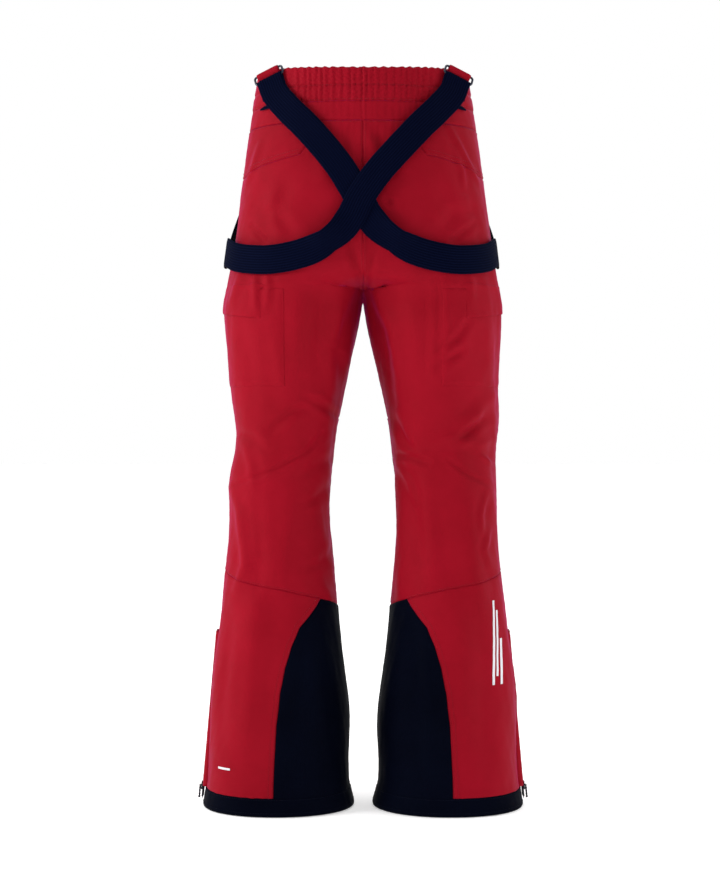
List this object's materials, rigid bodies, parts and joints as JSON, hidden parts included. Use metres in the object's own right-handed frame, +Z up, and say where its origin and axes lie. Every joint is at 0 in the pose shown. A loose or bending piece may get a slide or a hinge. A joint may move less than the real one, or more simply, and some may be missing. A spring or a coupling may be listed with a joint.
{
  "type": "ski pants",
  "caption": "Full-length padded ski trousers with elastic back waist, crossed braces, zipped pockets, thigh cargo pockets, kick panels and zipped flared hems.",
  "frame": {"origin": "on the floor under the middle of the pants as they stand on their two hems", "axes": "+Z up along the legs; +X is the wearer's right, seen on the right from behind; +Y is the wearer's front"},
  "size_m": [0.4786, 0.2791, 1.0584],
  "materials": {
    "red_shell": "matt softshell weave with a soft sheen",
    "navy_panel": "hard-wearing matt weave",
    "strap_webbing": "ribbed elastic webbing",
    "lining_cloth": "plain woven lining",
    "elastic": "knitted elastic",
    "zip_tape": "fine herringbone tape",
    "zip_coil": "moulded coil",
    "zip_metal": "dark coated metal",
    "puller_cord": "braided cord",
    "snap_metal": "dark coated metal",
    "black_plastic": "moulded nylon"
  },
  "bodies": {
    "pants": {"back_band": "red_shell", "back_panel_left": "red_shell", "back_panel_right": "red_shell", "brace_rings": "black_plastic", "brace_strap_left": "strap_webbing", "brace_strap_right": "strap_webbing", "brace_tabs": "red_shell", "calf_panel_left": "red_shell", "calf_panel_right": "red_shell", "cargo_pocket_left": "red_shell", "cargo_pocket_right": "red_shell", "fly_zip_tape": "zip_tape", "front_panel_left": "red_shell", "front_panel_right": "red_shell", "gaiter_elastic_left": "elastic", "gaiter_elastic_right": "elastic", "gaiter_left": "lining_cloth", "gaiter_right": "lining_cloth", "hem_band_left": "navy_panel", "hem_band_right": "navy_panel", "hip_yoke_left": "red_shell", "hip_yoke_right": "red_shell", "keeper_loop_left": "strap_webbing", "keeper_loop_right": "strap_webbing", "kick_panel_left": "navy_panel", "kick_panel_right": "navy_panel", "knee_panel_left": "red_shell", "knee_panel_right": "red_shell", "leg_zip_tape_left": "zip_tape", "leg_zip_tape_right": "zip_tape", "lining": "lining_cloth", "pocket_bag_left": "lining_cloth", "pocket_bag_right": "lining_cloth", "pocket_zip_tape_left": "zip_tape", "pocket_zip_tape_right": "zip_tape", "shin_panel_left": "red_shell", "shin_panel_right": "red_shell", "waist_elastic": "elastic", "waist_snap_studs": "snap_metal", "waistband_back": "red_shell", "waistband_front_left": "red_shell", "waistband_front_right": "red_shell", "zip_coils": "zip_coil"},
    "fly_slider": {"fly_slider": "zip_metal", "fly_pull": "zip_metal"},
    "fly_placket": {"fly_placket": "red_shell"},
    "waist_tab": {"waist_tab": "red_shell", "waist_snap_caps": "snap_metal"},
    "pocket_slider_left": {"pocket_slider_left": "zip_metal"},
    "pocket_pull_left": {"pocket_pull_left": "zip_metal"},
    "leg_slider_left": {"leg_slider_left": "zip_metal"},
    "leg_pull_left": {"leg_pull_left": "puller_cord"},
    "cargo_flap_left": {"cargo_flap_left": "red_shell"},
    "brace_adjuster_left": {"brace_adjuster_left": "black_plastic"},
    "pocket_slider_right": {"pocket_slider_right": "zip_metal"},
    "pocket_pull_right": {"pocket_pull_right": "zip_metal"},
    "leg_slider_right": {"leg_slider_right": "zip_metal"},
    "leg_pull_right": {"leg_pull_right": "puller_cord"},
    "cargo_flap_right": {"cargo_flap_right": "red_shell"},
    "brace_adjuster_right": {"brace_adjuster_right": "black_plastic"}
  },
  "joints": [
    {"name": "fly_zip_slide", "type": "slide", "parent": "pants", "child": "fly_slider", "axis": [0, 0.0493, -0.9988], "range_m": [0, 0.13]},
    {"name": "fly_placket_hinge", "type": "hinge", "parent": "pants", "child": "fly_placket", "pos_m": [-0.02322, 0.1326, 0.9205], "axis": [-0.0009, -0.0518, 0.9987], "range_deg": [0, 140]},
    {"name": "waist_tab_hinge", "type": "hinge", "parent": "pants", "child": "waist_tab", "pos_m": [-0.03965, 0.11854, 1.027], "axis": [0, 0, 1], "range_deg": [0, 150]},
    {"name": "pocket_zip_slide_left", "type": "slide", "parent": "pants", "child": "pocket_slider_left", "axis": [-0.2302, 0.0209, -0.9729], "range_m": [0, 0.118]},
    {"name": "pocket_pull_swing_left", "type": "hinge", "parent": "pocket_slider_left", "child": "pocket_pull_left", "pos_m": [-0.06227, 0.12519, 0.97708], "axis": [0.9432, 0.2507, -0.2178], "range_deg": [0, 150]},
    {"name": "leg_zip_slide_left", "type": "slide", "parent": "pants", "child": "leg_slider_left", "axis": [0.0874, 0, 0.9962], "range_m": [0, 0.208]},
    {"name": "leg_pull_swing_left", "type": "hinge", "parent": "leg_slider_left", "child": "leg_pull_left", "pos_m": [-0.2361, 0.002, 0.02655], "axis": [0, 1, 0], "range_deg": [0, 150]},
    {"name": "cargo_flap_hinge_left", "type": "hinge", "parent": "pants", "child": "cargo_flap_left", "pos_m": [-0.20108, 0.00604, 0.741], "axis": [0, 1, 0], "range_deg": [0, 120]},
    {"name": "brace_adjust_left", "type": "slide", "parent": "pants", "child": "brace_adjuster_left", "axis": [-0.4105, -0.1285, -0.9028], "range_m": [-0.022, 0.022]},
    {"name": "pocket_zip_slide_right", "type": "slide", "parent": "pants", "child": "pocket_slider_right", "axis": [0.2302, 0.0209, -0.9729], "range_m": [0, 0.118]},
    {"name": "pocket_pull_swing_right", "type": "hinge", "parent": "pocket_slider_right", "child": "pocket_pull_right", "pos_m": [0.06227, 0.12519, 0.97708], "axis": [0.9432, -0.2507, 0.2178], "range_deg": [0, 150]},
    {"name": "leg_zip_slide_right", "type": "slide", "parent": "pants", "child": "leg_slider_right", "axis": [-0.0874, 0, 0.9962], "range_m": [0, 0.208]},
    {"name": "leg_pull_swing_right", "type": "hinge", "parent": "leg_slider_right", "child": "leg_pull_right", "pos_m": [0.2361, 0.002, 0.02655], "axis": [0, -1, 0], "range_deg": [0, 150]},
    {"name": "cargo_flap_hinge_right", "type": "hinge", "parent": "pants", "child": "cargo_flap_right", "pos_m": [0.20108, 0.00604, 0.741], "axis": [0, -1, 0], "range_deg": [0, 120]},
    {"name": "brace_adjust_right", "type": "slide", "parent": "pants", "child": "brace_adjuster_right", "axis": [0.4072, -0.1258, -0.9046], "range_m": [-0.022, 0.022]}
  ]
}
